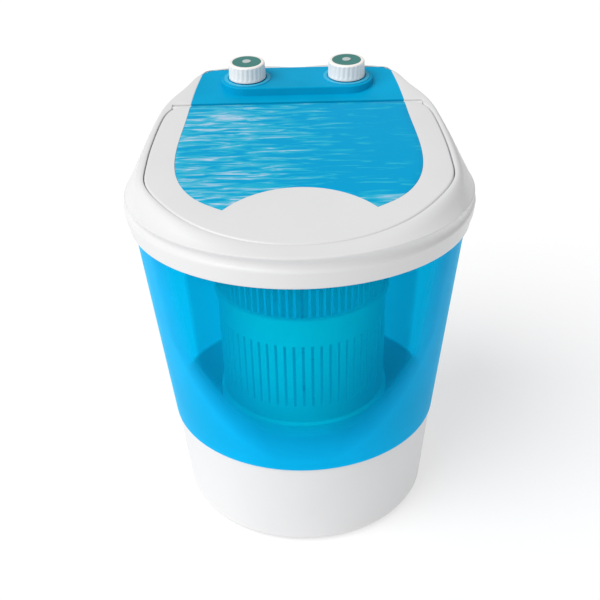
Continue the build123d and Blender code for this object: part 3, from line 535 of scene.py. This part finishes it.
def column_turns():
    """Column directions: even along the rim, with a close pair at each corner of the slot."""
    rim = spline(RIM, 40, True)
    lengths = np.linalg.norm(np.roll(rim, -1, axis=0) - rim, axis=1)
    along = np.concatenate([[0], np.cumsum(lengths)])
    loop = np.vstack([rim, rim[:1]])
    even = np.linspace(0, along[-1], COLUMNS, endpoint=False)
    places = np.stack([np.interp(even, along, loop[:, axis]) for axis in (0, 1)], axis=1)
    angles = [bearing(x, y) for x, y in places]
    deck_edge_x = np.interp(slot_rear_y, [y for _, y in BLUE_SIDE], [x for x, _ in BLUE_SIDE])
    corners = [(SLOT_HALF_X, slot_rear_y), (deck_edge_x, slot_rear_y), (deck_edge_x, hinge_y),
               BLUE_SIDE[0]]
    for x, y in corners:
        for side in (1, -1):
            for nudge in (-PAIR_TURN, PAIR_TURN):
                angles.append(bearing(side * x, y) + nudge)
    angles = sorted(math.remainder(angle, 2 * math.pi) for angle in angles)
    spread = [angles[0]]
    for angle in angles[1:]:
        if angle - spread[-1] > LEAST_TURN:
            spread.append(angle)
    return np.array(spread)


turns = column_turns()


def roof_z(y):
    """Height of the sloping top."""
    return roof_front_z + TOP_SLOPE * (y - lid_front_y)


def at_depth(distance, depth):
    """Ring at a distance in each column, a depth below the sloping top."""
    x = distance * np.cos(turns)
    y = distance * np.sin(turns) + PLAN_CENTRE_Y
    return np.stack([x, y, roof_z(y) - depth * SLOPE_LENGTH], axis=1)


def at_height(distance, height):
    """Ring at a distance in each column, at one height."""
    x = distance * np.cos(turns)
    y = distance * np.sin(turns) + PLAN_CENTRE_Y
    return np.stack([x, y, np.full_like(x, height)], axis=1)


# ------------------------------------------------------------------ meshes
def ring_solid(rings, cap_ends=False):
    """Vertices and faces joining each ring to the next.

    The last ring joins the first, or both ends are capped.
    """
    count = len(rings[0])
    vertices = [tuple(spot) for ring in rings for spot in ring]
    faces = []
    spans = len(rings) - 1 if cap_ends else len(rings)
    for level in range(spans):
        low = level * count
        high = (level + 1) % len(rings) * count
        for column in range(count):
            after = (column + 1) % count
            faces.append((low + column, low + after, high + after, high + column))
    if cap_ends:
        for level in (0, len(rings) - 1):
            first = level * count
            vertices.append(tuple(np.mean(rings[level], axis=0)))
            for column in range(count):
                faces.append((first + column, first + (column + 1) % count, len(vertices) - 1))
    return vertices, faces


def box_solid(corners):
    """Closed block from its four lower corners followed by its four upper ones."""
    faces = [(0, 3, 2, 1), (4, 5, 6, 7)]
    faces += [(0, 1, 5, 4), (1, 2, 6, 5), (2, 3, 7, 6), (3, 0, 4, 7)]
    return [tuple(corner) for corner in corners], faces


def bar_along_x(start, end, y, z, radius):
    """Round bar along X with eased ends."""
    angles = np.linspace(0, 2 * math.pi, 32, endpoint=False)
    rings = []
    slim = radius - 0.4
    for x, r in ((start, slim), (start + 0.4, radius), (end - 0.4, radius), (end, slim)):
        rings.append([(x, y + r * math.cos(angle), z + r * math.sin(angle)) for angle in angles])
    return ring_solid(rings, cap_ends=True)


def add_piece(name, solids, finish, body, replaced, sharp=32):
    """One object from closed solids in millimetres, riding on a body and standing for CAD nodes."""
    vertices = []
    faces = []
    for solid_vertices, solid_faces in solids:
        start = len(vertices)
        vertices += solid_vertices
        faces += [tuple(start + index for index in face) for face in solid_faces]
    mesh = bpy.data.meshes.new(name)
    mesh.from_pydata([tuple(value * MM for value in spot) for spot in vertices], [], faces)
    work = bmesh.new()
    work.from_mesh(mesh)
    bmesh.ops.recalc_face_normals(work, faces=work.faces)
    work.to_mesh(mesh)
    work.free()
    smooth(mesh, sharp)
    piece = bpy.data.objects.new(name, mesh)
    bpy.context.scene.collection.objects.link(piece)
    mesh.materials.append(FINISHES[finish])
    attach(piece, body)
    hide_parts(*replaced)
    return piece


# ------------------------------------------------------------------ white top housing
# Each row is the depth in from the rim, the rise above the skirt and the share of the grip bulge.
COLLAR = [
    (2.9, 0.0, 0),
    (2.6, 0.5, 0),
    (2.5, 3.0, 0.05),
    (2.35, 5.8, 0.3),
    (2.1, 7.4, 0.9),
    (1.9, 10.5, 1),
    (1.6, 14.2, 1),
    (1.35, 16.0, 1),
    (1.6, 17.4, 1),
    (2.4, 18.7, 0.97),
    (3.2, 20.4, 0.9),
    (3.6, 22.6, 0.75),
    (3.4, 24.8, 0.6),
    (2.5, 27.0, 0.42),
    (1.4, 28.7, 0.28),
    (0.55, 29.8, 0.18),
    (0.1, 30.8, 0.08),
    (0.0, 31.6, 0),
    (0.25, 32.2, 0),
    (0.9, 32.55, 0),
]
GRIP_BULGE = 4.25
GRIP_SPREAD = 48.0


def with_grips(ring, share):
    """Ring pushed out at the two sides, where the carrying grips stand proud."""
    bulge = GRIP_BULGE * share * np.exp(-((ring[:, 1] / GRIP_SPREAD) ** 2))
    moved = ring.copy()
    moved[:, 0] += np.sign(ring[:, 0]) * bulge * np.clip(np.abs(ring[:, 0]) / 60, 0, 1)
    return moved


def add_top_housing():
    """Collar, rounded shoulders, sloping surround, lid pocket, mouth funnel and web."""
    blue = reach(blue_curve())
    rise = np.sin(turns)
    sideways = np.abs(np.cos(turns))
    behind = rise > LEAST_RISE
    to_slot_rear = (slot_rear_y - PLAN_CENTRE_Y) / np.where(behind, rise, 1)
    to_slot_side = SLOT_HALF_X / np.maximum(sideways, 0.01)
    slot = np.where(behind, np.minimum(to_slot_rear, to_slot_side), 0)
    pocket = np.maximum(reach_of(LID, -LID_GAP), slot)
    on_deck = blue * rise + PLAN_CENTRE_Y > slot_rear_y
    lip = np.maximum(pocket, np.where(on_deck, blue, 0))

    rings = [with_grips(at_height(reach_of(RIM, depth), skirt_z + rise_mm), share)
             for depth, rise_mm, share in COLLAR]
    shoulder = at_depth(reach_of(SHOULDER), 0)
    toward_rim = at_height(reach_of(RIM), rim_z) - shoulder
    toward_rim /= np.linalg.norm(toward_rim, axis=1)[:, None]
    flare = shoulder + toward_rim * 8.5
    flat = at_depth(reach_of(SHOULDER, 4.0), 0)
    for step in range(11):
        t = step / 10
        rings.append(flare * (1 - t) ** 2 + shoulder * 2 * t * (1 - t) + flat * t**2)
    for out, depth in ((1.1, 0), (0.45, 0.07), (0.12, 0.32), (0, 0.9)):
        rings.append(at_depth(lip + out, depth))
    pocket_under = POCKET_DEPTH + HOUSING_WALL
    floor_depth = np.where(on_deck, DECK_DEPTH, pocket_under)
    to_slot = (lip * rise + PLAN_CENTRE_Y - slot_rear_y) / np.where(behind, rise, 1)
    ledge = np.where(on_deck, np.clip(to_slot, 0.05, DECK_LEDGE), 0.5)
    rings.append(at_depth(lip, floor_depth))
    rings.append(at_depth(lip - ledge, floor_depth))
    rings.append(at_depth(lip - ledge, floor_depth + HOUSING_WALL))
    rings.append(at_depth(lip + 2.5, floor_depth + HOUSING_WALL + 0.2))
    room = np.minimum(reach_of(RIM, 6.5), np.maximum(reach_circle(173), lip + 3))
    rings.append(at_height(room, skirt_z + 20))
    rings.append(at_height(room, web_z + HOUSING_WALL))
    rebate = reach_circle(CASING_REBATE_R)
    rings.append(at_height(rebate, web_z))
    rings.append(at_height(rebate, skirt_z))
    outer = ring_solid(rings)

    mouth = reach(mouth_curve(0))
    mouth_back = reach(mouth_curve(HOUSING_WALL))
    web = reach_circle(WEB_R)
    floor = [
        at_depth(pocket + 0.3, POCKET_DEPTH),
        at_depth(mouth + 1.2, POCKET_DEPTH),
        at_depth(mouth + 0.4, POCKET_DEPTH + 0.12),
        at_depth(mouth + 0.08, POCKET_DEPTH + 0.45),
        at_depth(mouth, POCKET_DEPTH + 1.2),
        at_height(mouth, web_z),
        at_height(web, web_z),
        at_height(web, web_z + HOUSING_WALL),
        at_height(mouth_back, web_z + HOUSING_WALL),
        at_depth(mouth_back, pocket_under),
        at_depth(pocket + 0.3, pocket_under),
    ]
    near, far = slot_rear_y, slot_rear_y + DECK_LEDGE
    bar_corners = []
    for depth in (pocket_under, DECK_DEPTH):
        for x, y in ((-BAR_X, near), (BAR_X, near), (BAR_X, far), (-BAR_X, far)):
            bar_corners.append((x, y, roof_z(y) - depth * SLOPE_LENGTH))
    add_piece("top_housing", [outer, ring_solid(floor), box_solid(bar_corners)], "white_shell",
              "root", ["top_frame"])


def add_lid():
    """White lid with its turned-down edge and hinge knuckles, and the flush blue window."""
    blue = reach(blue_curve())
    lid = reach_of(LID)
    rise = np.sin(turns)
    glazed = blue * rise + PLAN_CENTRE_Y > hinge_y
    behind = rise > LEAST_RISE
    run_back = np.where(behind, rise, 1)
    back = np.where(behind, (hinge_y - PLAN_CENTRE_Y) / run_back, FAR)
    window = np.minimum(np.minimum(blue, back), lid)
    open_back = np.where(behind, (OPENING_REAR_Y - PLAN_CENTRE_Y) / run_back, FAR)
    opening = np.minimum(blue - WINDOW_SEAT, open_back)
    top = np.where(glazed, WINDOW_THICKNESS, 0)
    edge = [(0.0, 2.6), (0.25, 1.4), (0.95, 0.45), (1.6, 0.12), (2.6, 0.0)]
    inner = lid - LID_WALL
    rings = [at_depth(inner, LID_WALL), at_depth(inner, LID_SKIRT)]
    rings.append(at_depth(lid - 0.4, LID_SKIRT))
    rings.append(at_depth(lid, LID_SKIRT - 0.4))
    for back_off, depth in edge:
        rings.append(at_depth(lid - back_off, top + depth * np.where(glazed, 0.2, 1)))
    rings.append(at_depth(np.minimum(window + 0.35, lid - 2.8), top))
    seat_edge = np.where(glazed, WINDOW_THICKNESS, 0.18)
    seat = WINDOW_THICKNESS + 0.02
    rings.append(at_depth(np.minimum(window + 0.08, inner), seat_edge))
    rings.append(at_depth(np.minimum(window, lid - 3.2), seat))
    rings.append(at_depth(opening, seat))
    rings.append(at_depth(opening, LID_WALL))
    near, far = KNUCKLE_X
    knuckles = [
        bar_along_x(near, far, hinge_y, hinge_z, HINGE_R),
        bar_along_x(-far, -near, hinge_y, hinge_z, HINGE_R),
    ]
    add_piece("lid_shell", [ring_solid(rings)] + knuckles, "white_shell", "lid", ["lid_frame"])

    plate = window - 0.12
    shares = [0.02, 0.2, 0.4, 0.6, 0.8, 0.93]
    under = [at_depth(plate * share, WINDOW_THICKNESS) for share in shares]
    over = [at_depth(plate * share, 0) for share in reversed(shares)]
    rim = [(0.5, WINDOW_THICKNESS), (0, 2.3), (0, 0.4), (0.12, 0.12), (0.5, 0)]
    edge_rings = [at_depth(plate - back_off, depth) for back_off, depth in rim]
    sheet = ring_solid(under + edge_rings + over, cap_ends=True)
    bead = bar_along_x(-BEAD_END_X, BEAD_END_X, hinge_y, hinge_z, HINGE_R)
    add_piece("lid_glazing", [sheet, bead], "blue_glazing", "lid", ["lid_window"])


# ------------------------------------------------------------------ knobs
PLATEAU_SLOPE = 0.123
FLUTES = 24
COLUMNS_PER_FLUTE = 10
FLUTE_DEPTH = 0.55
# Each row is a radius, a height and the share of the flutes' depth there.
KNOB_SECTION = [
    (3.0, 2.0, 0), (3.0, -9.0, 0), (6.5, -9.0, 0), (6.5, 3.0, 0), (18.0, 3.0, 0),
    (18.0, -9.0, 0), (20.6, -9.0, 0), (20.95, -8.8, 0), (21.0, -8.3, 0), (20.95, -6.6, 0),
    (20.93, -5.9, 0.5), (20.9, -5.0, 1), (20.75, 0.0, 1), (20.6, 5.6, 1), (20.57, 6.5, 0.7),
    (20.5, 7.3, 0.25), (20.3, 7.9, 0.05), (19.9, 8.5, 0), (19.3, 8.85, 0), (18.6, 9.0, 0),
    (16.5, 9.0, 0), (16.3, 8.8, 0), (16.3, 8.0, 0), (5.0, 8.0, 0), (5.0, 8.8, 0), (4.8, 9.0, 0),
]


def add_knob(name):
    """Round knob with soft grip flutes, hollow underneath, with a recess for its coloured ring."""
    low, high = (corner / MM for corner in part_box(name + "_knob"))
    middle = (low + high) / 2
    tilt = Vector((0, -PLATEAU_SLOPE, 1)).to_track_quat("Z", "Y").to_matrix()
    rings = []
    for radius, height, share in KNOB_SECTION:
        ring = []
        for column in range(FLUTES * COLUMNS_PER_FLUTE):
            turn = 2 * math.pi * column / (FLUTES * COLUMNS_PER_FLUTE)
            wave = 0.5 - 0.5 * math.cos(FLUTES * turn)
            out = radius - FLUTE_DEPTH * share * wave**1.5
            spot = Vector((out * math.cos(turn), out * math.sin(turn), height))
            ring.append(tuple(middle + tilt @ spot))
        rings.append(ring)
    add_piece(name + "_grip_knob", [ring_solid(rings, cap_ends=True)], "knob_white",
              name + "_control", [name + "_knob"], sharp=40)


add_studio()
for name, piece in nodes.items():
    if piece.type == "MESH":
        smooth(piece.data, 30)
add_top_housing()
add_lid()
add_knob("timer")
add_knob("selector")

slot_of = {row["node"]: row["material_slot"] for row in frame["record"]["subparts"]}
for name, piece in nodes.items():
    piece.data.materials.clear()
    piece.data.materials.append(FINISHES[slot_of[name]])
